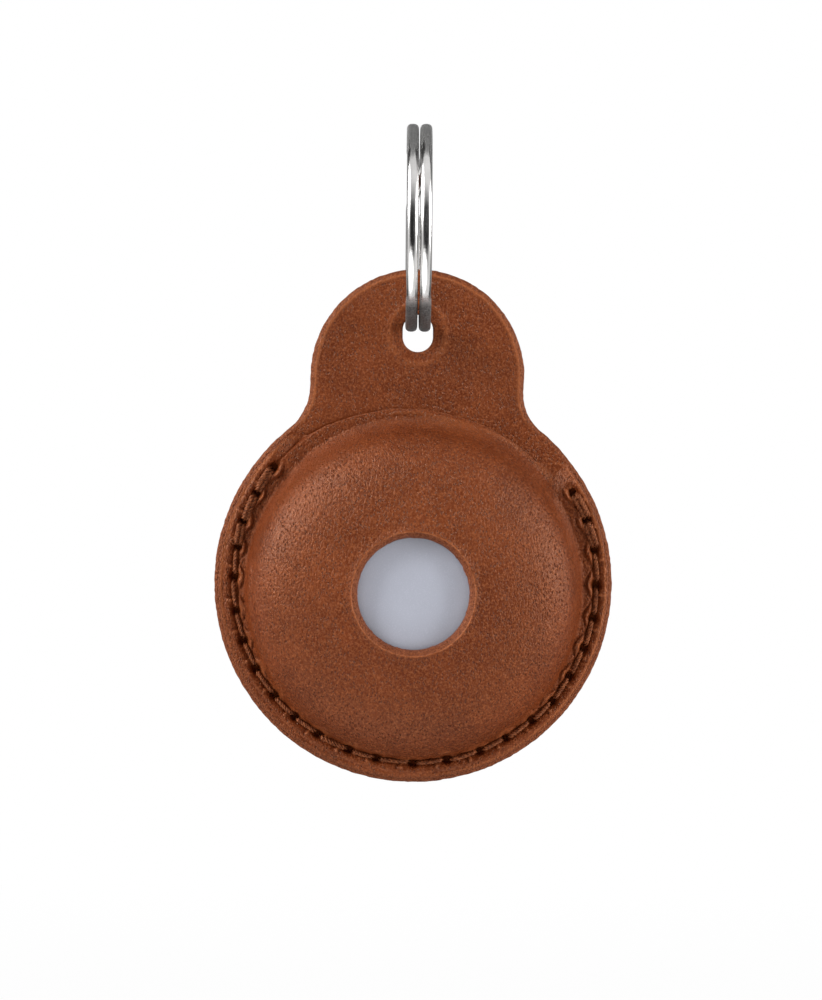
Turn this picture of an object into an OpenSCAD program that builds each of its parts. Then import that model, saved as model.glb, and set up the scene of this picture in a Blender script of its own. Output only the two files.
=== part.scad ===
// Leather holder for a round tracker tag, on a split key ring.
// A moulded front panel with a round window is stitched to a flat keyhole-shaped back panel.
// The seam stays open at the top, where the tag slides in. All sizes are millimetres.
// Every sub-part is drawn lying flat, face up, round the middle of the round body, and
// upright() then stands it up: the front faces -Y, the key ring is at the top, and the
// origin is the middle of the key ring.

/* [Tag] */
// Diameter of the tracker tag
tag_d = 31.9; // [29:0.1:34]
// Thickness of the tracker tag
tag_t = 8; // [7.8:0.1:9]
// Height of the widest line of the tag above its back
tag_belt = 4.2; // [4.1:0.05:4.4]
// Wall of the tag's plastic cover
cover_wall = 0.85; // [0.7:0.05:0.9]

/* [Leather] */
// Thickness of the back panel
back_t = 2; // [1.6:0.1:2.6]
// Thickness of the moulded front panel
front_t = 1.4; // [1:0.1:1.8]
// Thickness of the front panel's skived rim, where it is stitched
rim_t = 1.2; // [1:0.1:1.6]

/* [Pocket] */
// Room between the tag and the leather over its face
face_gap = 0.15; // [0.1:0.05:0.5]
// Room between the tag and the foot of the moulded wall
side_gap = 1.5; // [1.5:0.1:2.5]
// Width of the flat rim between the moulded wall and the edge of the back panel
rim_w = 4.15; // [4:0.1:6]
// How far the edge of the front panel stands in from the edge of the back panel
rim_inset = 0.5; // [0.2:0.1:0.6]
// How far the tag's middle sits below the middle of the round body
pocket_drop = 0.75; // [0.3:0.05:0.9]
// Diameter of the window over the tag's face
window_d = 12.8; // [10:0.1:16]
// Width of the loose lip at the mouth, past the moulded wall
lip_w = 1.95; // [1.4:0.05:2.3]
// Distance from the middle of the round body to the line where the lip folds up
lip_fold = 9.5; // [9:0.1:11]

/* [Tab] */
// Width of the hanging tab
tab_w = 24.7; // [20:0.1:28]
// Height of the middle of the tab's round end above the middle of the round body
tab_rise = 24; // [22:0.5:30]
// Radius of the hollow where the tab meets the round body
neck_r = 3; // [2:0.5:5]
// Diameter of the hole for the key ring
hole_d = 3.5; // [3.4:0.1:4]
// How far the hole is drawn out below the ring
hole_pull = 0.8; // [0.4:0.1:1.2]
// Distance from the tab's top edge to the swing axis of the ring
hole_edge = 7; // [5:0.5:9]

/* [Seam] */
// Number of stitch holes
stitch_holes = 26; // [20:1:26]
// Angle between one stitch hole and the next
stitch_step = 10.02; // [9:0.01:10.1]
// Direction of the first stitch hole, from the right-hand side
stitch_first = 30.3; // [28:0.1:33]
// Distance of the stitches from the edge of the back panel
stitch_edge = 2.14; // [1.9:0.01:2.4]
// Diameter of a stitch hole
stitch_hole_d = 1; // [0.9:0.05:1.1]
// Diameter of the thread
thread_d = 0.55; // [0.45:0.05:0.6]
// Depth of the groove that the thread lies in
groove_h = 0.62; // [0.62:0.01:0.7]
// Angle from an end stitch hole to the end of the mouth
mouth_margin = 7; // [5:0.5:9]

/* [Key ring] */
// Outer diameter of the split ring
ring_od = 24; // [22:0.5:32]
// Width of the wire along the ring's axis
wire_w = 1.22; // [1:0.02:1.24]
// Thickness of the wire across the ring
wire_t = 1.3; // [1:0.05:1.35]
// Gap between the two turns of wire
turn_gap = 0.42; // [0.42:0.01:0.46]
// Rounding of the wire's corners
wire_round = 0.4; // [0.3:0.05:0.45]
// How far the wire lies above the swing axis, hanging in the hole
wire_hang = 0.45; // [0.3:0.05:0.5]
// Arc over which the wire crosses from one turn to the other
cross_arc = 40; // [30:1:60]
// Direction of the crossing, from straight up, to the rear
cross_at = 60; // [40:1:100]

/* [Battery] */
// Diameter of the coin cell
cell_d = 20; // [19:0.1:20.5]
// Thickness of the coin cell
cell_t = 3.2; // [3:0.05:3.25]
// Width of the step round the coin cell's raised cap
cell_step = 1.2; // [1:0.05:1.6]
// Diameter of the steel battery cover
lid_d = 25.8; // [25:0.1:26.2]
// Thickness of the steel battery cover
lid_t = 0.4; // [0.3:0.05:0.45]
// Width of one bayonet lug, as an angle
lug_arc = 14; // [10:1:15]
// Turn of the battery cover from locked to free
lid_turn = 18; // [17:1:24]

/* [Electronics] */
// Diameter of the circuit board
board_d = 26.8; // [25:0.1:27]
// Thickness of the circuit board
board_t = 0.6; // [0.4:0.05:0.8]
// Outer diameter of the speaker's steel cup
yoke_d = 9.6; // [9:0.1:10]
// Height of the speaker's steel cup
yoke_h = 1.8; // [1.5:0.05:1.9]
// Diameter of the speaker's magnet
magnet_d = 6.6; // [6:0.1:6.8]

/* [Hidden] */
$fn = 96;

fit_gap = 0.1;      // clearance between parts of the tag that slot together
seat_gap = 0.05;    // clearance where a loose piece lies on another
lip_gap = 0.12;     // clearance between the lip and the leather beside it
slack = 0.01;       // overshoot of a cut past the face that it opens
past = 1;           // how far a cutting block reaches past what it cuts

// Leather outline and pocket
tag_r = tag_d / 2;
cave_r = tag_r + side_gap;
wall_r = cave_r + front_t;
disc_r = wall_r + rim_w;
front_r = disc_r - rim_inset;
rim_top = back_t + rim_t;
cave_top = back_t + seat_gap + tag_t + face_gap;
dome_top = cave_top + front_t;
dome_power = 3;     // 2 would be a round section, more is squarer
dome_steps = 20;
mouth_r = wall_r - pocket_drop + lip_w;
lip_fringe = 0.2;   // strip of flat rim that the lip takes along at its sides

// Seam
stitch_r = disc_r - stitch_edge;
stitch_last = stitch_first - (stitch_holes - 1) * stitch_step;
mouth_from = stitch_first + mouth_margin;
mouth_to = stitch_last + 360 - mouth_margin;
fold_turn = (mouth_from + mouth_to) / 2 - 90;
seam_mid = rim_top / 2;
front_run = rim_top - groove_h + thread_d / 2 + slack;
back_run = groove_h - thread_d / 2 - slack;
groove_w = thread_d + 0.25; // the thread lies loose in its groove
groove_over = 1;    // angle by which the groove passes the end holes
thread_over = 0.8;  // angle by which the thread passes them
leg_d = thread_d - 0.15;    // pulled tight, it is thinner in the holes

// Tab
tab_top = tab_rise + tab_w / 2;
hole_y = tab_top - hole_edge;
neck_kink = 0.02;   // the hollow cuts this far into the round body, so that the faces cross

// Key ring
ring_r = ring_od / 2 - wire_t / 2;
ring_y = hole_y + wire_hang + ring_r;
ring_z = back_t / 2;
turn_pitch = wire_w + turn_gap;
wire_rings = 96;
wire_corner_steps = 2;

// Tag shell, with heights above the tag's own back
tag_seat = back_t + seat_gap;
face_power = 2.2;
base_power = 6;
face_h = tag_t - tag_belt;
base_lift = 0.3;    // the plastic stands this far off what the tag's steel back lies on
base_h = tag_belt - base_lift;
outline_steps = 14;
split_h = 1.9;      // height of the joint between the tag's frame and its cover
overlap = 0.4;      // how far solids of one piece run into each other

// Battery cover and its bayonet
lid_r = lid_d / 2;
lid_seat = lid_t + fit_gap;
lid_rim = [0.3, 0.15];
ledge_w = 0.9;
ledge_h = 0.5;
ledge_r = lid_r - ledge_w;
track_r = lid_r + 0.5;
track_from = lid_seat + ledge_h;
lug_h = 0.42;
lug_from = track_from + fit_gap;
track_to = lug_from + lug_h + fit_gap;
bayonet_r = ledge_r - fit_gap;
bayonet_wall = 0.7;
lugs = 3;
stop_arc = 4;       // angle of the blocks that stop a lug at each end of its track
lug_play = 1;       // angle left between a lug and its stop
notch_play = 1.6;   // angle by which a notch is wider than its lug

// Coin cell and its well
cell_cap_d = cell_d - 2 * cell_step;
cell_wall = 0.3;
cell_crimp = 0.35;
cell_from = lid_t + seat_gap;
cell_top = cell_from + cell_t;
well_r = cell_d / 2 + 0.3;
well_wall = 0.8;
spring_room = 0.45;
floor_from = cell_top + spring_room;
floor_t = 0.6;
floor_to = floor_from + floor_t;
frame_wall = 0.8;
frame_r = track_r + frame_wall;
contact = [0.25, 2.6];
contact_window = 3.2;
centre_contact = 3;

// Electronics
board_to = floor_to + board_t;
board_notch_d = 1.8;
yoke_room = 0.4;
yoke_wall = 0.45;
yoke_base = 0.5;
coil_room = 0.2;
coil_wall = 0.4;
coil_lift = 0.3;
shield = [6.4, 4.6, 0.7];
shield_from = 5.8;
chip = [2.2, 2, 0.5];
chip_from = 7.2;
chip_angles = [20, -25, -60, -95, -130, -165, 160];
trace = [0.25, 0.1];
trace_from = 11.4;
trace_step = 0.5;
trace_turns = 3;

// Quarter of a rounded section of half-width a and height h, from its foot to the axis.
// A superellipse: power 2 is an ellipse and a higher power is squarer.
function bulge(a, h, power, from, steps) =
    [for (i = [0 : steps]) let (t = i * 90 / steps)
        [a * pow(cos(t), 2 / power), from + h * pow(sin(t), 2 / power)]];

module upright() { translate([0, ring_z, -ring_y]) rotate([90, 0, 0]) children(); }

module in_pocket() { translate([0, -pocket_drop, tag_seat]) children(); }

module ring_of(r_in, r_out, from, to) {
    translate([0, 0, from])
        difference() {
            cylinder(r = r_out, h = to - from);
            translate([0, 0, -slack]) cylinder(r = r_in, h = to - from + 2 * slack);
        }
}

// A block from angle a to angle b, and from r_in to r_out
module arc_block(a, b, r_in, r_out, from, to) {
    rotate([0, 0, a])
        rotate_extrude(angle = b - a)
            translate([r_in, from]) square([r_out - r_in, to - from]);
}

// ---------- leather ----------

// The tab's straight part, widened by a hollow on each side where it runs into the round body
module tab_neck() {
    side = tab_w / 2;
    cx = side + neck_r;
    hub = disc_r + neck_r - neck_kink;
    cy = sqrt(pow(hub, 2) - pow(cx, 2));
    inside = [cx, cy] * (disc_r - past) / hub;
    difference() {
        linear_extrude(back_t)
            polygon([[side, tab_rise], [side, cy], [cx, cy], inside,
                     [-inside[0], inside[1]], [-cx, cy], [-side, cy], [-side, tab_rise]]);
        for (k = [-1, 1])
            translate([k * cx, cy, -slack]) cylinder(r = neck_r, h = back_t + 2 * slack);
    }
}

module tab_end() {
    translate([0, tab_rise, 0])
        intersection() {
            cylinder(d = tab_w, h = back_t);
            translate([-tab_w, 0, -slack]) cube([2 * tab_w, tab_w, back_t + 2 * slack]);
        }
}

module ring_hole() {
    for (k = [0, 1])
        translate([0, hole_y - k * hole_pull, -slack]) cylinder(d = hole_d, h = back_t + 2 * slack);
    translate([-hole_d / 2, hole_y - hole_pull, -slack]) cube([hole_d, hole_pull, back_t + 2 * slack]);
}

module at_stitches() {
    for (i = [0 : stitch_holes - 1])
        rotate([0, 0, stitch_first - i * stitch_step]) translate([stitch_r, 0, 0]) children();
}

module stitch_bores() {
    at_stitches() translate([0, 0, -slack]) cylinder(d = stitch_hole_d, h = rim_top + 2 * slack);
}

module stitch_groove(from, to) {
    arc_block(stitch_last - groove_over, stitch_first + groove_over,
              stitch_r - groove_w / 2, stitch_r + groove_w / 2, from, to);
}

module back_panel() {
    color("sienna") upright()
        difference() {
            union() {
                cylinder(r = disc_r, h = back_t);
                tab_neck();
                tab_end();
            }
            ring_hole();
            stitch_bores();
            stitch_groove(-slack, groove_h);
        }
}

module pocket_dome() {
    translate([0, -pocket_drop, 0])
        rotate_extrude()
            polygon(concat([[0, back_t], [wall_r, back_t]],
                           bulge(wall_r, dome_top - rim_top, dome_power, rim_top, dome_steps)));
}

module pocket_cave() {
    translate([0, -pocket_drop, 0])
        rotate_extrude()
            polygon(concat([[0, back_t - slack], [cave_r, back_t - slack]],
                           bulge(cave_r, cave_top - back_t, dome_power, back_t, dome_steps)));
}

// The whole front leather, before it is split where it folds
module front_leather() {
    difference() {
        union() {
            difference() {
                translate([0, 0, back_t]) cylinder(r = front_r, h = rim_t);
                arc_block(mouth_from - lip_gap / 2, mouth_to + lip_gap / 2,
                          mouth_r, disc_r + past, back_t - slack, rim_top + slack);
            }
            pocket_dome();
        }
        pocket_cave();
        translate([0, -pocket_drop, rim_top]) cylinder(d = window_d, h = dome_top);
        stitch_bores();
        stitch_groove(rim_top - groove_h, rim_top + slack);
    }
}

// The part of the front leather that lifts at the mouth: what lies past the fold line and
// inside the seam, and all of the loose edge between the two ends of the seam
module lip_zone(grow) {
    intersection() {
        translate([0, -pocket_drop, 0]) cylinder(r = wall_r + lip_fringe + grow, h = dome_top + past);
        rotate([0, 0, fold_turn]) translate([-disc_r, lip_fold - grow, 0])
            cube([2 * disc_r, disc_r, dome_top + past]);
    }
    arc_block(mouth_from - grow, mouth_to + grow, cave_r - pocket_drop - past, disc_r + past,
              0, rim_top + lip_gap);
}

module front_panel() {
    color("chocolate") upright()
        difference() {
            front_leather();
            lip_zone(lip_gap);
        }
}

module mouth_lip() {
    color("chocolate") upright()
        difference() {
            intersection() {
                front_leather();
                lip_zone(0);
            }
            cube([2 * disc_r, 4 * disc_r, 2 * (back_t + seat_gap)], center = true);
        }
}

// ---------- seam ----------

// One thread: a run along the groove, and a leg down each hole to the other thread
module thread(run_z) {
    rotate([0, 0, stitch_last - thread_over])
        rotate_extrude(angle = stitch_first - stitch_last + 2 * thread_over)
            translate([stitch_r, run_z]) circle(d = thread_d);
    at_stitches()
        translate([0, 0, min(run_z, seam_mid)]) cylinder(d = leg_d, h = abs(run_z - seam_mid));
}

module needle_thread() { color("saddlebrown") upright() thread(front_run); }

module bobbin_thread() { color("saddlebrown") upright() thread(back_run); }

// ---------- key ring ----------

// The wire's rounded section, as [sideways, outwards]
wire_section = [for (c = [[1, 1, 0], [-1, 1, 90], [-1, -1, 180], [1, -1, 270]])
    for (k = [0 : wire_corner_steps]) let (a = c[2] + k * 90 / wire_corner_steps)
        [c[0] * (wire_w / 2 - wire_round), c[1] * (wire_t / 2 - wire_round)]
            + wire_round * [cos(a), sin(a)]];

// The wire's middle line, as [angle, sideways place]. It goes round twice, and steps across
// from one turn to the other in the arc that its own two ends leave free.
function step_across(t) =
    let (s = min(1, max(0, (t - 360) / cross_arc + 0.5))) turn_pitch * (s * s * (3 - 2 * s) - 0.5);

wire_line = [for (i = [0 : wire_rings]) let (t = cross_arc / 2 + i * (720 - cross_arc) / wire_rings)
    [t, step_across(t)]];

function wire_point(p, side, out) =
    [p[1] + side, (ring_r + out) * cos(p[0] - cross_at), (ring_r + out) * sin(p[0] - cross_at)];

wire_path = [for (p = wire_line) wire_point(p, 0, 0)];
apart = ceil(wire_rings / 8);
turn_gaps = [for (i = [0 : wire_rings - apart]) for (j = [i + apart : wire_rings])
    norm(wire_path[i] - wire_path[j]) - wire_w];
echo(least_gap_between_turns_of_the_key_ring = min(turn_gaps));  // key_ring

module key_ring() {
    sides = len(wire_section);
    points = [for (p = wire_line) for (s = wire_section) wire_point(p, s[0], s[1])];
    sleeve = [for (i = [0 : wire_rings - 1]) for (k = [0 : sides - 1])
        let (a = i * sides + k, b = i * sides + (k + 1) % sides)
            each [[a, b, b + sides], [a, b + sides, a + sides]]];
    last = wire_rings * sides;
    ends = [for (k = [1 : sides - 2]) each [[0, k + 1, k], [last, last + k, last + k + 1]]];
    color("silver") upright()
        translate([0, ring_y, ring_z]) polyhedron(points, concat(sleeve, ends), convexity = 6);
}

// ---------- tag shell ----------

// Half of the tag's section, from its back to its face, or of what lies a wall inside it
module tag_section(wall) {
    polygon([for (i = [-outline_steps : outline_steps])
        let (t = i * 90 / outline_steps, power = t < 0 ? base_power : face_power,
             reach = t < 0 ? base_h - wall : face_h - wall)
            [(tag_r - wall) * pow(cos(t), 2 / power),
             tag_belt + sign(t) * reach * pow(abs(sin(t)), 2 / power)]]);
}

module tag_cover() {
    color("lightsteelblue") upright() in_pocket()
        difference() {
            rotate_extrude() tag_section(0);
            rotate_extrude() tag_section(cover_wall);
            translate([0, 0, -past]) cylinder(r = tag_r + past, h = split_h + seat_gap + past);
        }
}

module tag_frame() {
    color("whitesmoke") upright() in_pocket()
        difference() {
            union() {
                intersection() {
                    rotate_extrude() tag_section(0);
                    ring_of(ledge_r, tag_r + past, 0, split_h);
                }
                ring_of(track_r + fit_gap, frame_r, split_h - overlap, floor_to);
                ring_of(well_r, well_r + well_wall, split_h, floor_from + floor_t / 2);
                translate([0, 0, floor_from]) cylinder(r = frame_r - overlap, h = floor_t);
            }
            translate([0, 0, -slack]) cylinder(r = lid_r + fit_gap, h = lid_seat + slack);
            lug_track();
            for (k = [0 : lugs - 1])
                arc_block(k * 360 / lugs - lid_turn - (lug_arc + notch_play) / 2,
                          k * 360 / lugs - lid_turn + (lug_arc + notch_play) / 2,
                          ledge_r - past, track_r - fit_gap / 2, lid_seat - slack, track_from + slack);
            for (k = [0 : 1])
                rotate([0, 0, 90 + 180 * k]) translate([well_r - past, -contact_window / 2, split_h - slack])
                    cube([well_wall + 2 * past, contact_window, floor_from - split_h + 2 * slack]);
        }
}

// The groove that the lugs turn in, less the blocks that stop them at either end of it
module lug_track() {
    stop_at = lug_arc / 2 + lug_play;
    difference() {
        translate([0, 0, track_from]) cylinder(r = track_r, h = track_to - track_from);
        for (k = [0 : lugs - 1]) {
            arc_block(k * 360 / lugs + stop_at, k * 360 / lugs + stop_at + stop_arc,
                      ledge_r - past, track_r + past, 0, track_to + past);
            arc_block(k * 360 / lugs - lid_turn - stop_at - stop_arc, k * 360 / lugs - lid_turn - stop_at,
                      ledge_r - past, track_r + past, 0, track_to + past);
        }
    }
}

// ---------- tag electronics ----------

module circuit_board() {
    color("darkgreen") upright() in_pocket()
        difference() {
            translate([0, 0, floor_to]) cylinder(d = board_d, h = board_t);
            translate([0, 0, floor_to - slack]) cylinder(d = yoke_d + 2 * yoke_room, h = board_t + 2 * slack);
            for (k = [0 : 2])
                rotate([0, 0, 60 + 120 * k]) translate([board_d / 2, 0, floor_to - slack])
                    cylinder(d = board_notch_d, h = board_t + 2 * slack);
        }
}

module shield_can() {
    color("silver") upright() in_pocket()
        translate([-shield[0] / 2, shield_from, board_to]) cube(shield);
}

module board_chips() {
    color("dimgray") upright() in_pocket()
        for (a = chip_angles)
            rotate([0, 0, a]) translate([chip_from, -chip[1] / 2, board_to]) cube(chip);
}

module antenna_coil() {
    color("peru") upright() in_pocket()
        for (k = [0 : trace_turns - 1]) {
            r = trace_from + k * trace_step;
            ring_of(r, r + trace[0], board_to, board_to + trace[1]);
        }
}

module speaker_yoke() {
    color("gray") upright() in_pocket()
        difference() {
            translate([0, 0, floor_to]) cylinder(d = yoke_d, h = yoke_h);
            translate([0, 0, floor_to + yoke_base]) cylinder(d = yoke_d - 2 * yoke_wall, h = yoke_h);
        }
}

module speaker_magnet() {
    color("slategray") upright() in_pocket()
        translate([0, 0, floor_to + yoke_base]) cylinder(d = magnet_d, h = yoke_h - yoke_base - fit_gap);
}

// It hangs from the inside of the cover, which is its diaphragm
module voice_coil() {
    r_in = magnet_d / 2 + coil_room;
    r_out = r_in + coil_wall;
    inner = pow(1 - pow(r_out / (tag_r - cover_wall), face_power), 1 / face_power);
    color("darkorange") upright() in_pocket()
        ring_of(r_in, r_out, floor_to + yoke_base + coil_lift,
                tag_belt + (face_h - cover_wall) * inner - fit_gap);
}

module battery_contacts() {
    color("gold") upright() in_pocket() {
        for (k = [0 : 1])
            rotate([0, 0, 90 + 180 * k])
                translate([cell_d / 2 + seat_gap, -contact[1] / 2, split_h + fit_gap])
                    cube([contact[0], contact[1], floor_from - split_h - fit_gap]);
        translate([-centre_contact / 2, -centre_contact / 2, cell_top + seat_gap])
            cube([centre_contact, centre_contact, spring_room - seat_gap]);
    }
}

// ---------- coin cell ----------

module cell_can() {
    color("silver") upright() in_pocket() translate([0, 0, cell_from])
        difference() {
            cylinder(d = cell_d, h = cell_t - cell_crimp);
            translate([0, 0, cell_wall]) cylinder(d = cell_d - 2 * cell_wall, h = cell_t);
        }
}

module cell_gasket() {
    color("black") upright() in_pocket()
        ring_of(cell_cap_d / 2, cell_d / 2 - cell_wall, cell_from + cell_wall, cell_top - cell_crimp);
}

module cell_cap() {
    color("gainsboro") upright() in_pocket()
        translate([0, 0, cell_from + cell_wall]) cylinder(d = cell_cap_d, h = cell_t - cell_wall);
}

// ---------- battery cover ----------

module battery_lid() {
    color("lightgray") upright() in_pocket()
        difference() {
            cylinder(r = lid_r, h = lid_t);
            ring_of(lid_r - lid_rim[0], lid_r + past, -slack, lid_rim[1]);
        }
}

module lid_bayonet() {
    color("whitesmoke") upright() in_pocket() {
        ring_of(bayonet_r - bayonet_wall, bayonet_r, lid_t, lug_from + lug_h);
        for (k = [0 : lugs - 1])
            arc_block(k * 360 / lugs - lug_arc / 2, k * 360 / lugs + lug_arc / 2,
                      bayonet_r - bayonet_wall / 2, track_r - fit_gap, lug_from, lug_from + lug_h);
    }
}

back_panel();
front_panel();
mouth_lip();
needle_thread();
bobbin_thread();
key_ring();
tag_cover();
tag_frame();
circuit_board();
shield_can();
board_chips();
antenna_coil();
speaker_yoke();
speaker_magnet();
voice_coil();
battery_contacts();
cell_can();
cell_gasket();
cell_cap();
battery_lid();
lid_bayonet();
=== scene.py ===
import math

import bmesh
import bpy
import numpy as np
from mathutils import Matrix, Vector


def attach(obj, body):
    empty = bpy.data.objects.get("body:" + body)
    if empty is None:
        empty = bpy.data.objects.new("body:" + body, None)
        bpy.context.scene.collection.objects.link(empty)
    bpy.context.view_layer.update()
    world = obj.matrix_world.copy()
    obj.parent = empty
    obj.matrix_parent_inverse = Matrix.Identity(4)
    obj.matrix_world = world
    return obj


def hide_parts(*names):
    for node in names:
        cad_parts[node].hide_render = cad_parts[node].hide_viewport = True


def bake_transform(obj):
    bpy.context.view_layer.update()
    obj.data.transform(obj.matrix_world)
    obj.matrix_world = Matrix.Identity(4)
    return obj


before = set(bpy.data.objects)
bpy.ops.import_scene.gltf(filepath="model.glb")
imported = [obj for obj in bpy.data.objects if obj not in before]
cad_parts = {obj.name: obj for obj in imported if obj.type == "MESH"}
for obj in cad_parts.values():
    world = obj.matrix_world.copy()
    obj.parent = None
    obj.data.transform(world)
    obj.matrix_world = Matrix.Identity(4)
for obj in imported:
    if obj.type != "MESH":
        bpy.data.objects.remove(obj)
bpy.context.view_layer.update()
print("frame loaded:", len(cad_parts), "nodes")

# Sizes that several pieces share, in millimetres. A flat point (u, v, h) is sideways and up
# from the middle of the round body, and h above the back face of the leather.
body = {
    "discMid": -41.15,
    "discR": 23.0,
    "pocketDrop": 0.75,
    "backT": 2.0,
    "flangeTop": 3.2,
    "seamR": 20.92,
    "seamMid": (0.25, 0.35),
    "firstStitch": 30.3,
    "stitchStep": 10.02,
    "stitches": 26,
    "mouthFrom": 37.3,
    "mouthTo": 132.8,
    "lipR": 20.05,
    "lipRiseTop": 0.35,
    "lipRiseLeft": 0.6,
}
# how far each hole was punched from its even place, in stitches
stitchSlip = [0, -0.05, -0.12, -0.01, 0.02, 0.02, 0, -0.04, -0.13, -0.13, -0.23, -0.1, -0.03,
              0.17, 0.03, 0.21, 0.13, 0.07, 0.14, 0.11, 0.11, 0.19, 0.17, -0.05, -0.04, -0.09]


def stand(u, v, h):
    # Flat leather coordinates to the standing object's, in metres
    return np.stack([u, 1.0 - h, v + body["discMid"]], axis=-1) * 0.001


def ease(t):
    # An S from 0 to 1, level at both ends: three times the square less twice the cube
    return t * t * (3 - 2 * t)


def smooth(x, a, b):
    # 0 before a, 1 after b, and a smooth S between them
    return ease(np.clip((x - a) / (b - a), 0, 1))


def bell(x, mid, width):
    # A rounded bump of height 1 round mid: e to the minus square of the distance in widths
    return np.exp(-(((x - mid) / width) ** 2))


def channel(x, half):
    # The section of a flat-bottomed channel: e to the minus fourth power of the distance in halves
    return np.exp(-((x / half) ** 4))


def gridFaces(rows, cols, loopRows=False):
    # Four-sided faces between neighbouring rows and columns of a grid of points. The columns
    # always close into a loop, the rows where it is asked.
    r, c = np.meshgrid(np.arange(rows if loopRows else rows - 1), np.arange(cols), indexing="ij")
    r2, c2 = (r + 1) % rows, (c + 1) % cols
    corners = [r * cols + c, r * cols + c2, r2 * cols + c2, r2 * cols + c]
    return np.stack(corners, axis=-1).reshape(-1, 4)


def makePiece(name, points, faces, material, bodyName=None, merge=2e-7, sharp=None, **marks):
    # Puts points and faces into a mesh, closes its seams and turns its faces outwards. Each mark
    # is a number for every point, which a material can read.
    mesh = bpy.data.meshes.new(name)
    mesh.from_pydata(points.reshape(-1, 3).tolist(), [], faces.tolist())
    for key, values in marks.items():
        layer = mesh.attributes.new(key, "FLOAT", "POINT")
        layer.data.foreach_set("value", values.astype(np.float32).ravel())
    shape = bmesh.new()
    shape.from_mesh(mesh)
    bmesh.ops.remove_doubles(shape, verts=shape.verts, dist=merge)
    bmesh.ops.dissolve_degenerate(shape, edges=shape.edges, dist=merge)
    bmesh.ops.recalc_face_normals(shape, faces=shape.faces)
    shape.to_mesh(mesh)
    shape.free()
    mesh.shade_smooth()
    if sharp:
        mesh.set_sharp_from_angle(angle=math.radians(sharp))
    piece = bpy.data.objects.new(name, mesh)
    bpy.context.scene.collection.objects.link(piece)
    mesh.materials.append(material)
    if bodyName:
        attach(piece, bodyName)
    return piece


def noise1(x, seed, steps):
    # Smooth random waves round a closed line, x from 0 to 1: seeded numbers at even steps, joined
    # by smooth curves
    table = np.random.default_rng(seed).uniform(-1, 1, steps)
    at = (x % 1.0) * steps
    low = np.floor(at).astype(int) % steps
    part = ease(at - np.floor(at))
    return table[low] * (1 - part) + table[(low + 1) % steps] * part


def noise2(x, y, seed, size=64):
    # Smooth random bumps over a plane: seeded numbers on a square grid that repeats, joined by
    # smooth curves both ways
    table = np.random.default_rng(seed).uniform(-1, 1, (size, size))
    i, j = np.floor(x).astype(int), np.floor(y).astype(int)
    a, b = ease(x - i), ease(y - j)
    i, j = i % size, j % size
    i2, j2 = (i + 1) % size, (j + 1) % size
    near = table[i, j] * (1 - a) + table[i2, j] * a
    far = table[i, j2] * (1 - a) + table[i2, j2] * a
    return near * (1 - b) + far * b


studio = {
    "azimuth": -0.3,
    "elevation": 1.8,
    "roll": 0.5,
    "distance": 0.6,
    "aim": (-0.00034, -0.003, -0.03138),
    "heightSeen": 0.1152,
    "sensor": 36,
    "lampAim": (0, 0, -0.035),
    "world": 0.48,
    "floor": -0.16,
    "floorHalf": 1.5,
    "boxes": [((-0.82, -0.32, 0.47), 9.0), ((0.93, -0.32, 0.16), 4.0), ((-0.25, -0.6, -0.75), 3.0)],
}


def addCamera():
    # Stands back from the aim by the distance, at its azimuth and elevation, and leans by the
    # roll. The lens is long enough for the height seen at the aim.
    a, e = math.radians(studio["azimuth"]), math.radians(studio["elevation"])
    back = (math.sin(a) * math.cos(e), -math.cos(a) * math.cos(e), math.sin(e))
    data = bpy.data.cameras.new("camera")
    data.sensor_width = studio["sensor"]
    data.lens = studio["sensor"] * studio["distance"] / studio["heightSeen"]
    camera = bpy.data.objects.new("camera", data)
    camera.location = [p + b * studio["distance"] for p, b in zip(studio["aim"], back)]
    lean = Matrix.Rotation(math.radians(studio["roll"]), 3, "Z")
    turn = Vector(back).to_track_quat("Z", "Y").to_matrix() @ lean
    camera.rotation_euler = turn.to_euler()
    bpy.context.scene.collection.objects.link(camera)
    bpy.context.scene.camera = camera


def addLamp(name, place, size, watts):
    # A soft white rectangular lamp that faces the lamps' aim
    data = bpy.data.lights.new(name, "AREA")
    data.shape = "RECTANGLE"
    data.size, data.size_y = size
    data.energy = watts
    lamp = bpy.data.objects.new(name, data)
    bpy.context.scene.collection.objects.link(lamp)
    lamp.location = place
    way = Vector(studio["lampAim"]) - Vector(place)
    lamp.rotation_euler = way.to_track_quat("-Z", "Y").to_euler()


def fill(tree, socket, value):
    # Joins the socket to another one, or sets the value that it holds itself
    if isinstance(value, bpy.types.NodeSocket):
        tree.links.new(value, socket)
    else:
        socket.default_value = value


def node(tree, kind, **inputs):
    # Adds a shader node. A keyword names one of its inputs, with _ for a blank, or in0, in1 and so
    # on for an input by its place, or one of its own settings.
    made = tree.nodes.new(kind)
    for key, value in inputs.items():
        label = key.replace("_", " ")
        if hasattr(made, key) and key not in [s.name for s in made.inputs]:
            setattr(made, key, value)
            continue
        byPlace = key.startswith("in") and key[2:].isdigit()
        fill(tree, made.inputs[int(key[2:]) if byPlace else label], value)
    return made


def maths(tree, operation, a, b=0.0, c=0.0):
    # One sum on up to three values. MULTIPLY_ADD is a times b, plus c.
    return node(tree, "ShaderNodeMath", operation=operation, in0=a, in1=b, in2=c).outputs[0]


def spread(tree, value, low, high, toLow=0.0, toHigh=1.0):
    # Stretches low..high to toLow..toHigh and stops at both ends
    made = node(tree, "ShaderNodeMapRange", in0=value, in1=low, in2=high, in3=toLow, in4=toHigh)
    return made.outputs[0]


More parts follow.
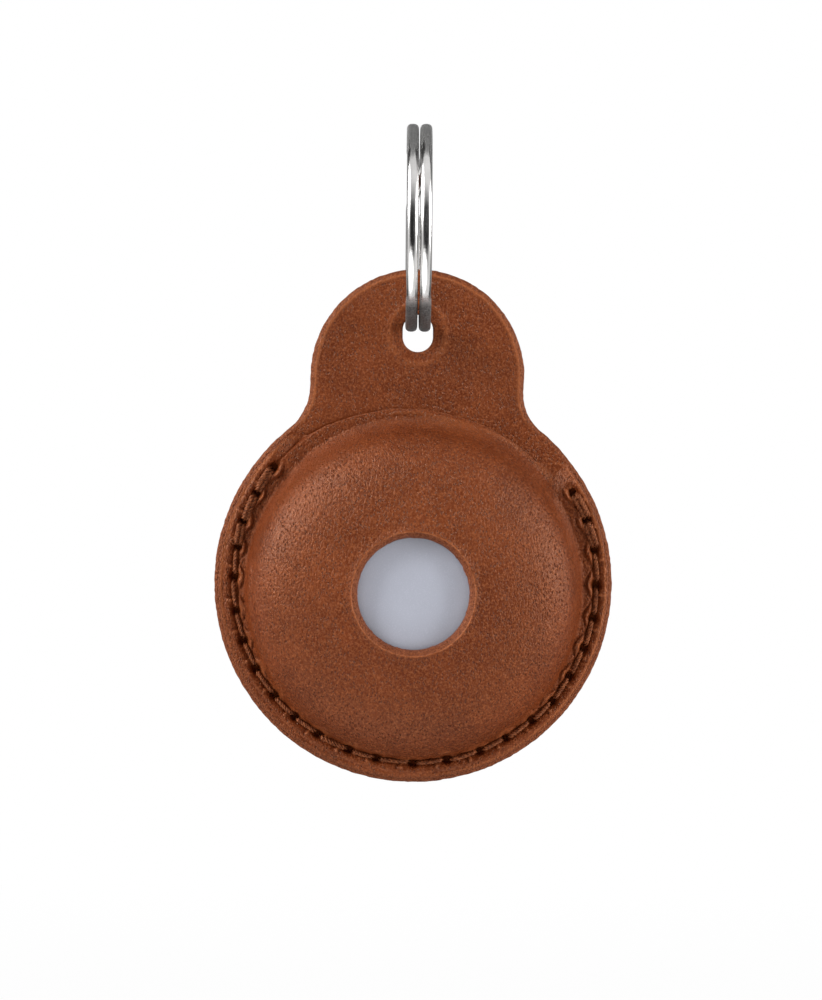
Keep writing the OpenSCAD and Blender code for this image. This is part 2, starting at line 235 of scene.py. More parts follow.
def blendColours(tree, factor, a, b):
    # Colour a turning into colour b as the factor goes from 0 to 1
    made = tree.nodes.new("ShaderNodeMix")
    made.data_type = "RGBA"
    for place, value in ((0, factor), (6, a), (7, b)):
        fill(tree, made.inputs[place], value)
    return made.outputs[2]


def rgb(r, g, b):
    # A colour written as it looks on a screen, 0 to 255, as the shader wants it
    parts = [c / 255 for c in (r, g, b)]
    return tuple(c / 12.92 if c <= 0.04045 else ((c + 0.055) / 1.055) ** 2.4 for c in parts) + (1.0,)


def newMaterial(name):
    # A material with its shader and the object's own coordinates
    made = bpy.data.materials.new(name)
    made.use_nodes = True
    tree = made.node_tree
    place = tree.nodes.new("ShaderNodeTexCoord").outputs["Object"]
    return made, tree, tree.nodes["Principled BSDF"], place


def finish(tree, shader, colour, roughness, height, deep, strength=1.0):
    # Gives a shader its colour, its roughness and a bumpy skin of that depth in metres
    tree.links.new(colour, shader.inputs["Base Color"])
    tree.links.new(roughness, shader.inputs["Roughness"])
    bump = node(tree, "ShaderNodeBump", Strength=strength, Distance=deep, Height=height)
    tree.links.new(bump.outputs[0], shader.inputs["Normal"])


def mark(tree, name):
    # Reads a number that a piece's own mesh carries at its points
    return node(tree, "ShaderNodeAttribute", attribute_name=name).outputs["Fac"]


def makeGroup(name, inputs, outputs):
    # A shader node group with named inputs and outputs
    tree = bpy.data.node_groups.new(name, "ShaderNodeTree")
    for label, kind, value in inputs:
        socket = tree.interface.new_socket(label, in_out="INPUT", socket_type="NodeSocket" + kind)
        if value is not None:
            socket.default_value = value
    for label, kind in outputs:
        tree.interface.new_socket(label, in_out="OUTPUT", socket_type="NodeSocket" + kind)
    return tree, tree.nodes.new("NodeGroupInput").outputs, tree.nodes.new("NodeGroupOutput").inputs


def placeGroup(tree, group, **inputs):
    # Puts a group into a material and joins its inputs
    made = tree.nodes.new("ShaderNodeGroup")
    made.node_tree = group
    for key, value in inputs.items():
        fill(tree, made.inputs[key], value)
    return made.outputs


addCamera()
print("camera ready")


def grainGroup():
    # Leather grain: small pores in slanting rows, creases between the cells, fine fibres, and slow
    # cloudy patches. Height is the sum of them, pores and creases downwards.
    tree, given, out = makeGroup(
        "leatherGrain",
        [("Vector", "Vector", None), ("Pores", "Float", 3100.0)],
        [("Height", "Float"), ("Pits", "Float"), ("Mottle", "Float"), ("Speckle", "Float")],
    )
    turned = node(tree, "ShaderNodeMapping", Vector=given["Vector"], Rotation=(0, -0.6, 0),
                  Scale=(1.25, 0.8, 0.62))
    wander = node(tree, "ShaderNodeTexNoise", Vector=given["Vector"], Scale=420.0, Detail=1.0)
    bent = node(tree, "ShaderNodeVectorMath", operation="MULTIPLY_ADD", in0=wander.outputs["Color"],
                in1=(0.0003, 0.0003, 0.0003), in2=turned.outputs[0])
    pores = node(tree, "ShaderNodeTexVoronoi", Vector=bent.outputs[0], Scale=given["Pores"],
                 Randomness=0.75)
    pits = spread(tree, pores.outputs["Distance"], 0.12, 0.36, 1.0, 0.0)
    cells = node(tree, "ShaderNodeTexVoronoi", feature="DISTANCE_TO_EDGE", Vector=bent.outputs[0],
                 Scale=1900.0)
    creases = spread(tree, cells.outputs["Distance"], 0.0, 0.2, 1.0, 0.0)
    fine = node(tree, "ShaderNodeTexNoise", Vector=given["Vector"], Scale=4200.0, Detail=3.0, Roughness=0.7)
    broad = node(tree, "ShaderNodeTexNoise", Vector=given["Vector"], Scale=130.0, Detail=4.0, Roughness=0.6)
    mid = node(tree, "ShaderNodeTexNoise", Vector=given["Vector"], Scale=700.0, Detail=3.0)
    height = 0.0
    for part, weight in ((pits, -0.6), (creases, -0.25), (fine.outputs[0], 0.7), (mid.outputs[0], 0.8)):
        height = maths(tree, "MULTIPLY_ADD", part, weight, height)
    cloud = maths(tree, "MULTIPLY", mid.outputs[0], 0.3)
    tree.links.new(height, out["Height"])
    tree.links.new(pits, out["Pits"])
    tree.links.new(maths(tree, "MULTIPLY_ADD", broad.outputs[0], 0.7, cloud), out["Mottle"])
    tree.links.new(spread(tree, fine.outputs[0], 0.36, 0.64), out["Speckle"])
    return tree


leather = {
    "mid": rgb(101, 43, 15),
    "dark": rgb(85, 32, 8),
    # light: the paler specks of the grain, and the colour of the painted highlights
    "light": rgb(178, 104, 62),
    "pore": rgb(56, 18, 5),
    # deep: the colour of the painted shade in creases, grooves, holes and valleys
    "deep": rgb(98, 44, 18),
    "cutEdge": rgb(78, 33, 14),
    "fibre": rgb(134, 74, 44),
    "specks": 0.4,
    "pores": 0.85,
    "roughness": 0.28,
    "cloudRough": 0.16,
    "creaseRough": 0.35,
    "cutRough": 0.25,
    "specular": 0.27,
    "creaseSpecular": 0.05,
    "tint": (1.0, 0.66, 0.46, 1.0),
    "grain": 0.00011,
}


def leatherMaterial(name, grain):
    # Cloudy brown with dark pores and paler specks. The marks on the mesh paint the cut edges,
    # painted highlights, and painted shade in creases, grooves and holes, which are rougher too.
    made, tree, shader, place = newMaterial(name)
    skin = placeGroup(tree, grain, Vector=place)
    s = leather
    colour = blendColours(tree, spread(tree, skin["Mottle"], 0.4, 0.6), s["dark"], s["mid"])
    specks = maths(tree, "MULTIPLY", maths(tree, "POWER", skin["Speckle"], 2.0), s["specks"])
    colour = blendColours(tree, specks, colour, s["light"])
    colour = blendColours(tree, maths(tree, "MULTIPLY", skin["Pits"], s["pores"]), colour, s["pore"])
    # painted highlights: the highlight mark turns the colour pale on ridges and rims
    colour = blendColours(tree, mark(tree, "rub"), colour, s["light"])
    fibres = blendColours(tree, skin["Speckle"], s["cutEdge"], s["fibre"])
    colour = blendColours(tree, mark(tree, "cut"), colour, fibres)
    # painted shade: the crease mark darkens creases, grooves, holes and valleys, and below makes them
    # rougher and less shiny
    colour = blendColours(tree, mark(tree, "crease"), colour, s["deep"])
    rough = maths(tree, "MULTIPLY_ADD", skin["Mottle"], s["cloudRough"], s["roughness"])
    rough = maths(tree, "MULTIPLY_ADD", mark(tree, "crease"), s["creaseRough"], rough)
    rough = maths(tree, "MULTIPLY_ADD", mark(tree, "cut"), s["cutRough"], rough)
    gloss = spread(tree, mark(tree, "crease"), 0.0, 0.8, s["specular"], s["creaseSpecular"])
    tree.links.new(gloss, shader.inputs["Specular IOR Level"])
    shader.inputs["Specular Tint"].default_value = s["tint"]
    finish(tree, shader, colour, rough, skin["Height"], s["grain"])
    return made


tanned = leatherMaterial("tannedLeather", grainGroup())
print("leather material ready")


backSizes = {
    "tabHalf": 12.35,
    "tabRise": 24.0,
    "neckR": 6.0,
    "holeMid": 28.95,
    "holeR": 1.75,
    "holePull": 0.8,
    "edgeRound": 0.55,
    "grooveDepth": 0.6,
    "grooveHalf": 0.42,
    "lean": 0.3,
    "columns": 1100,
}


def tabOutline(count):
    # The keyhole outline, from the bottom round to the bottom again: an arc of the round body,
    # a hollow at the neck, the tab's side, its round end, and the same mirrored
    s = backSizes
    cx = s["tabHalf"] + s["neckR"]
    hub = body["discR"] + s["neckR"]
    cy = math.sqrt(hub**2 - cx**2)
    turn = math.atan2(cy, cx)
    fine = 4000
    a = np.linspace(-math.pi / 2, turn, fine)
    disc = np.stack([body["discR"] * np.cos(a), body["discR"] * np.sin(a)], -1)
    b = np.linspace(turn + math.pi, math.pi, fine // 4)
    neck = np.stack([cx + s["neckR"] * np.cos(b), cy + s["neckR"] * np.sin(b)], -1)
    c = np.linspace(0, math.pi / 2, fine)
    end = np.stack([s["tabHalf"] * np.cos(c), s["tabRise"] + s["tabHalf"] * np.sin(c)], -1)
    right = np.concatenate([disc, neck, end])
    left = right[::-1] * (-1, 1)
    line = np.concatenate([right, left[1:]])
    run = np.concatenate([[0], np.cumsum(np.linalg.norm(np.diff(line, axis=0), axis=1))])
    # where the neck, the tab's side, its round end and its top begin along the line
    knots = run[[len(disc) - 1, len(disc) + len(neck) - 1, len(disc) + len(neck), len(right) - 1]]
    at = np.linspace(0, run[-1], count, endpoint=False)
    return np.stack([np.interp(at, run, line[:, 0]), np.interp(at, run, line[:, 1])], -1), run[-1], knots


def seamTurns():
    # How far round from the first stitch each hole lies, in even steps: its number and its slip
    return np.arange(body["stitches"]) + np.array(stitchSlip)


def seamRadius(angle):
    # Distance of the seam from the body's middle: a circle round a middle of its own, a little off
    return body["seamR"] + body["seamMid"][0] * np.cos(angle) + body["seamMid"][1] * np.sin(angle)


def seamPlace(u, v):
    # (distance out from the seam, place along it in stitches, 1 where it is sewn). The angle
    # counts in even steps, and the holes' own places turn that into stitches.
    angle = np.arctan2(v, u)
    turned = ((body["firstStitch"] - np.degrees(angle)) % 360) / body["stitchStep"]
    turned = np.where(turned > 31, turned - 360 / body["stitchStep"], turned)
    at = seamTurns()
    beyond = np.minimum(turned - at[0], 0) + np.maximum(turned - at[-1], 0)
    phase = np.interp(turned, at, np.arange(len(at))) + beyond
    sewn = smooth(phase, -0.4, -0.15) * (1 - smooth(phase, body["stitches"] - 0.85, body["stitches"] - 0.6))
    return np.hypot(u, v) - seamRadius(angle), phase, sewn


def seamAngle(phase):
    # The angle of a place along the seam, the other way round
    at = seamTurns()
    beyond = np.minimum(phase, 0) + np.maximum(phase - len(at) + 1, 0)
    turned = np.interp(phase, np.arange(len(at)), at) + beyond
    return np.radians(body["firstStitch"] - turned * body["stitchStep"])


def holeDistance(u, v):
    # Distance from the edge of the ring hole, a round hole drawn out downwards
    s = backSizes
    off = v - np.clip(v, s["holeMid"] - s["holePull"] / 2, s["holeMid"] + s["holePull"] / 2)
    return np.hypot(u, off) - s["holeR"]


def lipRadius(ring):
    # Distance of the mouth's lip from the body's middle at an angle in degrees: least on the
    # right, more at the top, and most where it meets the last stitch on the left
    atTop = body["lipRiseTop"] * smooth(ring, 75, 100)
    return body["lipR"] + atTop + body["lipRiseLeft"] * smooth(ring, 100, 127)


def rounded(x, reach):
    # Drop of a rounded edge at distance x from it: a quarter circle of that radius
    return reach - np.sqrt(np.maximum(reach**2 - (reach - np.minimum(x, reach)) ** 2, 0))


def backRows():
    # Flat rows of points from the ring hole out to the outline, how far in each lies from the
    # outline, the line where the rows start, the outline, and which columns start at the hole.
    # Below the hole the rows start from a line down the middle.
    s = backSizes
    outline, length, knots = tabOutline(s["columns"])
    count = len(outline)
    ahead = np.roll(outline, -1, 0) - np.roll(outline, 1, 0)
    ahead /= np.linalg.norm(ahead, axis=1, keepdims=True)
    inward = np.stack([-ahead[:, 1], ahead[:, 0]], -1)
    side = np.where(np.arange(count) < count / 2, 1.0, -1.0)
    low, up = s["holeMid"] - s["holePull"] / 2, s["holeMid"] + s["holePull"] / 2
    run = np.arange(count) / count * length
    run = np.minimum(run, length - run)
    atHole = run >= knots[1]
    ends = [0, knots[0], run[atHole].min(), knots[2], run.max()]
    slit = np.interp(run, ends[:3], [-6.0, 21.0, low - s["holeR"]])
    holeTurn = np.radians(np.interp(run, ends[2:], [-90, -25, 90]))
    holeUp = s["holeR"] * np.sin(holeTurn) + np.where(holeTurn > 0, up, low)
    inner = np.where(
        atHole[:, None],
        np.stack([side * s["holeR"] * np.cos(holeTurn), holeUp], -1),
        np.stack([0 * slit, slit], -1),
    )
    outward = outline - inner
    outward /= np.linalg.norm(outward, axis=1, keepdims=True)
    share = np.arange(count) / count
    ragged = 0.03 * noise1(share, 5, 400) + 0.02 * noise1(share, 6, 170)
    outline = outline + inward * ragged[:, None]

    nearHole = np.array([0, 0.06, 0.14, 0.25, 0.4, 0.6, 0.85, 1.15, 1.5])
    between = np.linspace(0, 1, 13)[1:-1]
    nearEdge = np.array([3.0, 2.75, 2.62, 2.52, 2.42, 2.3, 2.14, 1.98, 1.86, 1.76, 1.66, 1.5, 1.2, 0.95,
                         0.75, 0.6, 0.46, 0.34, 0.23, 0.14, 0.07, 0.02])
    first = inner[None] + outward[None] * nearHole[:, None, None]
    last = outline[None] + inward[None] * nearEdge[:, None, None]
    middle = first[-1] + (last[0] - first[-1]) * between[:, None, None]
    farIn = np.full(len(first) + len(middle), 9.0)
    fromEdge = np.concatenate([farIn, nearEdge])[:, None] + np.zeros((1, count))
    return np.concatenate([first, middle, last]), fromEdge, inner, outline, atHole


def backHeights(half, fromEdge, fromHole, tabSide):
    # Heights of the front and the back face, and the painted shade in the sewn channel and its
    # holes. The front swells round the ring hole and has a ridge along the tab's edge. The back
    # has the channel with its holes.
    s = backSizes
    drop = rounded(fromEdge, s["edgeRound"]) + rounded(fromHole, 0.4)
    swell = 0.14 * bell(fromHole, 1.4, 0.35) - 0.13 * bell(fromHole, 0.45, 0.5)
    ridge = 0.07 * bell(fromEdge, 0.62, 0.22) - 0.06 * bell(fromEdge, 1.0, 0.3)
    front = body["backT"] - drop + swell * smooth(half[..., 1], 24, 26) + ridge * tabSide
    gone, phase, sewn = seamPlace(half[..., 0], half[..., 1])
    aside = (phase - np.round(phase)) * math.radians(body["stitchStep"]) * body["seamR"]
    groove = sewn * s["grooveDepth"] * channel(gone, s["grooveHalf"])
    hole = sewn * 1.2 * np.exp(-(((gone / s["grooveHalf"]) ** 2 + (aside / 0.5) ** 2) ** 1.5))
    back = drop + groove + hole - sewn * 0.06 * bell(np.abs(gone), 0.62, 0.16)
    return front, back, np.clip(0.75 * groove / s["grooveDepth"] + hole, 0, 1)


def makeBackLeather():
    # The rows run from the ring hole out to the outline over the front, round the edge, and back
    # to the hole over the back
    half, fromEdge, inner, outline, atHole = backRows()
    count = len(outline)
    fromHole = np.maximum(holeDistance(half[..., 0], half[..., 1]), 0)
    tabSide = smooth(half[..., 1], 17, 21)
    front, back, darkBack = backHeights(half, fromEdge, fromHole, tabSide)
    edgeRows = np.array([0.25, 0.5, 0.75])
    rim = outline[None] + 0 * edgeRows[:, None, None]
    rimHeight = front[-1] + (back[-1] - front[-1]) * edgeRows[:, None]
    wallRows = np.array([0.2, 0.4, 0.6, 0.8])
    wall = inner[None] + 0 * wallRows[:, None, None]
    wallHeight = back[0] + (front[0] - back[0]) * wallRows[:, None]
    flat = np.concatenate([half, rim, half[::-1], wall])
    high = np.concatenate([front, rimHeight, back[::-1], wallHeight])
    faces = gridFaces(len(flat), count, loopRows=True)
    wallFrom = len(flat) - len(wallRows) - 1
    row, col = np.divmod(faces[:, 0], count)
    faces = faces[(row < wallFrom) | (atHole[col] & atHole[(col + 1) % count])]
    # marks: the cut edges, the dish round the ring hole made darker, painted shade in the sewn
    # channel on the back, a painted shadow line where the lip of the mouth meets this leather,
    # strongest on the left, and painted highlights on the ridges
    nearCut = 1 - smooth(fromEdge, 0.15, 0.5)
    cut = np.concatenate([np.maximum(nearCut, 0.8 * (1 - smooth(fromHole, 0.05, 0.35))),
                          np.ones_like(rimHeight), nearCut[::-1], np.ones_like(wallHeight)])
    turn = np.degrees(np.arctan2(half[..., 1], half[..., 0]))
    pastLip = np.hypot(half[..., 0], half[..., 1]) - lipRadius(turn)
    inMouth = smooth(turn, 70, 90) * (1 - smooth(turn, 136, 139))
    shadow = bell(pastLip, 0.1, 0.15) * (0.25 + 0.6 * smooth(turn, 95, 118)) * inMouth
    dished = 0.22 * bell(fromHole, 0.7, 0.5) * tabSide
    crease = np.concatenate([dished + shadow, 0 * rimHeight, darkBack[::-1], 0 * wallHeight])
    # painted highlights along the tab's edge and on the ridge round the ring hole
    ridges = (0.5 * bell(fromEdge, 0.6, 0.15) + 0.25 * bell(fromHole, 1.4, 0.2)) * tabSide
    rub = np.concatenate([ridges, 0 * rimHeight, 0 * back, 0 * wallHeight])
    lean = backSizes["lean"] * smooth(flat[..., 1], 17, 25)
    points = stand(flat[..., 0] + lean, flat[..., 1], high)
    piece = makePiece("back_leather", points, faces, tanned, "holder", cut=cut, crease=crease, rub=rub)
    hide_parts("back_panel")


makeBackLeather()
print("back leather ready")


frontSizes = {
    "wallR": 18.85,
    "caveR": 17.45,
    "domeTop": 11.6,
    "caveTop": 10.2,
    "power": 3.0,
    "windowR": 6.4,
    "edgeR": 22.5,
    "bed": 2.02,
    "seed": 11,
}
stitchSizes = {
    "channelHalf": 0.42,
    "channelDeep": 0.3,
    "archHigh": 0.24,
    "foldDeep": 0.17,
    "grooveAt": -0.29,
    "grooveDeep": 0.24,
    "boreOut": 0.5,
    "boreAside": 0.56,
    "boreDeep": 0.95,
    "pinchHigh": 0.2,
    "nibHigh": 0.14,
}


def seamRelief(gone, phase, sewn):
    # Height that the stitching adds, with painted shade in its folds, grooves and holes, and painted
    # highlights on its arches, pinches and nibs. At each hole the leather is drawn down, a rounded
    # arch stands behind it on the dome's side, and a fold lies behind the arch. Between holes lies a
    # narrow groove, and a small pinch runs out over the rim beside each hole.
    s = stitchSizes
    rng = np.random.default_rng(frontSizes["seed"])
    jitter = rng.uniform(-1, 1, (7, body["stitches"]))
    hole = np.clip(np.round(phase), 0, body["stitches"] - 1).astype(int)
    q = phase - hole
    pitch = math.radians(body["stitchStep"]) * body["seamR"]
    rough = noise2(phase * 7.0, gone * 4.0 + 20, 5)
    wave = 0.05 * noise2(phase * 5.0, gone * 3.0 + 40, 6)
    aside = (q + 0.02 * jitter[0][hole]) * pitch + wave
    out = gone - 0.07 * jitter[1][hole] + wave
    # near is 1 at a hole and 0 halfway to the next, and fold is how far in the fold lies
    near = np.cos(math.pi * np.clip(q + 0.05 * jitter[5][hole], -0.5, 0.5)) ** 1.4
    fold = -(0.42 + (0.68 + 0.12 * jitter[6][hole]) * near)
    pad = smooth(out, fold - 0.08, fold + 0.3) * (1 - smooth(out, -0.5, -0.14))
    arch = (s["archHigh"] + 0.08 * jitter[2][hole]) * pad * (0.3 + 0.7 * near)
    crease = s["foldDeep"] * bell(out, fold - 0.05, 0.13) * (0.4 + 0.6 * near) * (1 + 0.6 * rough)
    groove = s["grooveDeep"] * (1 - near) * bell(out, s["grooveAt"], 0.1)
    trough = s["channelDeep"] * channel(out, s["channelHalf"])
    size = 1 + 0.12 * jitter[3][hole]
    boreWay = ((out + 0.02) / (s["boreOut"] * size)) ** 2 + (aside / (s["boreAside"] * size)) ** 2
    bore = np.exp(-(boreWay**2))
    pinchAt = 0.33 + 0.04 * jitter[4][hole]
    pinch = bell(q, pinchAt, 0.035) * bell(out, 0.5, 0.32)
    pinch = pinch - 0.8 * bell(q, pinchAt + 0.09, 0.05) * bell(out, 0.45, 0.4)
    nib = bell(aside, -0.72, 0.13) * bell(out, 0.05, 0.24)
    pillow = 0.08 * bell(out, 0.95, 0.35) - 0.04 * bell(out, 1.35, 0.2) + 0.05 * near * bell(out, 0.9, 0.3)
    grit = 0.035 * rough * bell(out, -0.1, 0.8)
    raised = arch + s["pinchHigh"] * pinch + s["nibHigh"] * nib + pillow + grit
    height = sewn * (raised - crease - groove - trough) - sewn * s["boreDeep"] * bore
    # painted shade: darker in the fold behind each arch, in the groove between holes, in the holes, and a
    # little along the channel
    darkFold = 0.4 * bell(out, fold - 0.05, 0.14) * (0.35 + 0.65 * near)
    darkGroove = 0.6 * (1 - near) * bell(out, s["grooveAt"], 0.11)
    darkHole = 1.1 * np.clip(bore - 0.08, 0, 1) + 0.25 * channel(out, 0.5)
    dark = sewn * np.clip(darkFold + darkGroove + darkHole, 0, 1)
    # painted highlights on the arches, the pinches and the nibs
    light = sewn * np.clip(0.25 * near * pad * (1 + rough) + 0.7 * np.maximum(pinch, 0) + 0.8 * nib, 0, 1)
    # the painted shade gives way where a nib's painted highlight is
    return height, dark * (1 - 0.8 * np.clip(nib, 0, 1)), light


def frontRim(angle):
    # What changes round the rim: the angle from -90 to 270 degrees, 1 where the mouth is open, 1
    # where the rim is thinned onto the back leather, and 1 at the mouth's two ends
    ring = angle % 360
    ring = np.where(ring > 270, ring - 360, ring)
    start, stop = body["mouthFrom"], body["mouthTo"]
    inMouth = smooth(ring, start + 1, start + 9) * (1 - smooth(ring, stop - 8, stop - 1))
    thin = smooth(ring, start - 6, start + 2) * (1 - smooth(ring, stop - 4, stop + 4))
    inside = smooth(ring, start + 5, start + 16) * (1 - smooth(ring, stop - 18, stop - 7))
    return ring, inMouth, thin, thin * (1 - inside)


def domeRows(c, sn, share):
    # The window's cut edge and the dome, round the middle of the pocket. The dome is a
    # superellipse of power three: radius cubed over wall cubed, plus height cubed over dome
    # cubed, is one. Gives places, heights and the three marks.
    s = frontSizes
    domeHigh = s["domeTop"] - body["flangeTop"]
    left = 1 - (s["windowR"] / s["wallR"]) ** s["power"]
    high = body["flangeTop"] + domeHigh * left ** (1 / s["power"])
    flare = np.array([0.0, 0.03, 0.1, 0.2, 0.32, 0.45, 0.56, 0.63, 0.68, 0.74, 0.82, 0.95])
    rise = np.array([-1.2, -0.95, -0.72, -0.5, -0.33, -0.19, -0.08, -0.01, 0.05, 0.08, 0.07, 0.03])
    t = np.linspace(math.acos(((s["windowR"] + 1.15) / s["wallR"]) ** 1.5), 0.2, 400)
    dr, dh = s["wallR"] * np.cos(t) ** (2 / 3), domeHigh * np.sin(t) ** (2 / 3)
    run = np.concatenate([[0], np.cumsum(np.hypot(np.diff(dr), np.diff(dh)))])
    t = np.interp(np.linspace(0, run[-1], 32), run, t)
    r = np.concatenate([s["windowR"] + flare, s["wallR"] * np.cos(t) ** (2 / 3)])[:, None] + 0 * c
    domeH = body["flangeTop"] + domeHigh * np.sin(t) ** (2 / 3)
    h = np.concatenate([high + rise, domeH])[:, None] + 0 * c
    ragged = 0.06 * noise1(share, 31, 90) + 0.03 * noise1(share, 32, 300)
    r[:10] += ragged * np.linspace(1, 0.4, 10)[:, None]
    cut = np.concatenate([np.ones(7), [0.7, 0.4, 0.15, 0, 0], np.zeros(32)])[:, None] + 0 * c
    # painted highlight along the crest of the window's cut edge, stronger where the ragged edge bulges out
    rub = np.concatenate([np.zeros(6), [0.2, 0.5, 0.7, 0.4, 0.1], np.zeros(33)])[:, None]
    return r * c, r * sn - body["pocketDrop"], h, cut, 0 * r, rub * (1 + 0.8 * ragged / 0.09)


def rimRows(angle, c, sn, edge, domeEnd):
    # The foot of the dome and the stitched rim, round the middle of the body. A fillet of power
    # 3.6 joins the dome's last height to the rim, which thins and swells at the mouth.
    s = frontSizes
    ring, inMouth, thin, corner = frontRim(angle)
    lipR = lipRadius(ring)
    foot = -body["pocketDrop"] * sn + np.sqrt(s["wallR"] ** 2 - (body["pocketDrop"] * c) ** 2)
    steps = np.concatenate([[-1.9, -1.7, -1.5, -1.36, -1.24], np.arange(-1.14, 0.72, 0.075),
                            np.linspace(0.76, 1.5, 8)])
    wanted = seamRadius(np.radians(angle)) + steps[:, None]
    rank = np.arange(1, len(steps) + 1)[:, None]
    out = np.maximum(wanted, foot + 0.035 * rank)
    out = np.minimum(out, edge - 0.12 - 0.004 * (len(steps) - rank))
    past = out - foot
    gone, phase, sewn = seamPlace(out * c, out * sn)
    relief, dark, light = seamRelief(gone, phase, sewn)
    fillet = (domeEnd - body["flangeTop"]) * np.maximum(1 - past / 1.15, 0) ** 3.6
    stepWide = 0.15 + 0.9 * (1 - smooth(ring, 60, 95))
    skive = thin * (0.5 + 0.65 * smooth(out, lipR - stepWide, lipR + 0.12)) * smooth(past, 0.4, 1.3)
    # a shallow slit along the lip's edge on the left, which is also darkened below as a painted shadow line
    slit = bell(out, lipR + 0.05, 0.13) * smooth(ring, 116, 124) * (1 - smooth(ring, 137.5, 139.5))
    rim = body["flangeTop"] + relief - skive - 0.14 * slit
    crest = lipR - 0.55 * smooth(ring, 45, 75)
    swell = smooth(ring, 30, 44) * (1 - smooth(ring, 88, 108))
    lip = swell * (0.13 * bell(out, crest, 0.3) - 0.1 * bell(past, 0.9, 0.35))
    lip = lip - 0.08 * thin * bell(past, 0.85, 0.35)
    top = np.maximum(rim + lip, s["bed"] + 0.03) + fillet
    # painted shade: the valley at the dome's foot, the stitching's folds, grooves and holes, and the slit's
    # line
    valley = 0.55 * bell(past, 0.5, 0.34)
    crease = np.clip(np.maximum(dark, valley) + 0.7 * slit, 0, 1)
    # painted highlights: a pale line just in from the outer edge, the lip's crest, and the stitching's
    # arches, pinches and nibs
    band = 0.45 * bell(out, edge - 0.3, 0.13) * (1 - inMouth) * (1 - 0.6 * thin)
    rub = np.clip(light + 0.22 * swell * bell(out, crest, 0.2) + band, 0, 1)
    return out * c, out * sn, top, 0 * out, crease, rub


def underRows(c, sn, share, edge, rimEnd, corner):
    # The rounded outer edge, the flat underside of the rim and the hollow under the dome, which
    # has the dome's form one leather's thickness in
    s = frontSizes
    bend = np.radians(np.linspace(75, -90, 8))[:, None]
    thick = (rimEnd - s["bed"]) / 2
    ragged = 0.035 * noise1(share, 9, 330) + 0.03 * noise1(share, 19, 120)
    er = edge - 0.12 + 0.12 * np.cos(bend) + ragged
    part = np.linspace(0, 1, 6)[1:, None]
    inner = -body["pocketDrop"] * sn + np.sqrt((s["caveR"] + 0.15) ** 2 - (body["pocketDrop"] * c) ** 2)
    br = (edge - 0.2) * (1 - part) + inner * part
    t = np.linspace(0.06, math.acos((s["windowR"] / s["caveR"]) ** 1.5), 14)[:, None]
    cr = s["caveR"] * np.cos(t) ** (2 / 3) + 0 * c
    ch = s["bed"] + (s["caveTop"] - body["backT"]) * np.sin(t) ** (2 / 3) + 0 * c
    u = np.concatenate([er * c, br * c, cr * c])
    v = np.concatenate([er * sn, br * sn, cr * sn - body["pocketDrop"]])
    h = np.concatenate([s["bed"] + thick + thick * np.sin(bend), s["bed"] + 0 * br, ch])
    within = np.zeros((len(u) - len(er), 1)) + 0 * c
    cut = np.concatenate([np.ones_like(er) * (1 - corner), within + 0.6])
    # the hollow's inside gets the fibres' colour and is made a little darker
    return u, v, h, cut, np.concatenate([0 * er, within + 0.2]), 0 * u


def makeFrontLeather():
    # A profile from the window's cut edge over the dome, down to its foot, across the stitched
    # rim, round the edge, and back under to the window, carried round at every angle. Above the
    # mouth the rim ends sooner, and at both of its ends it thins out onto the back leather.
    sewnAngles = np.linspace(44.0, -229.0, 780, endpoint=False)
    mouthAngles = np.linspace(-229.0, -316.0, 120, endpoint=False)
    angle = np.concatenate([sewnAngles, mouthAngles])
    c, sn = np.cos(np.radians(angle)), np.sin(np.radians(angle))
    share = np.arange(len(angle)) / len(angle)
    ring, inMouth, thin, corner = frontRim(angle)
    edge = frontSizes["edgeR"] + (lipRadius(ring) - frontSizes["edgeR"]) * inMouth
    dome = domeRows(c, sn, share)
    rim = rimRows(angle, c, sn, edge, dome[2][-1])
    under = underRows(c, sn, share, edge, rim[2][-1], corner)
    u, v, h, cut, crease, rub = (np.concatenate(rows) for rows in zip(dome, rim, under))
    # the leather isn't quite even: broad soft bumps over the dome
    soft = 0.05 * noise2(u * 0.16 + 9, v * 0.16 + 7, 3) * (h > 5)
    faces = gridFaces(len(u), len(angle), loopRows=True)
    piece = makePiece("front_leather", stand(u, v, h + soft), faces, tanned, merge=1.5e-6,
                      cut=cut, crease=crease, rub=rub)
    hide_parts("front_panel", "mouth_lip")
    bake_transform(piece)
    print("front leather ready:", u.size, "points")


makeFrontLeather()


threadSizes = {
    "strandR": 0.14,
    "strands": 3,
    "twist": 1.15,
    "sides": 8,
    "steps": 34,
    "high": 3.0,
    "backLevel": 0.4,
}


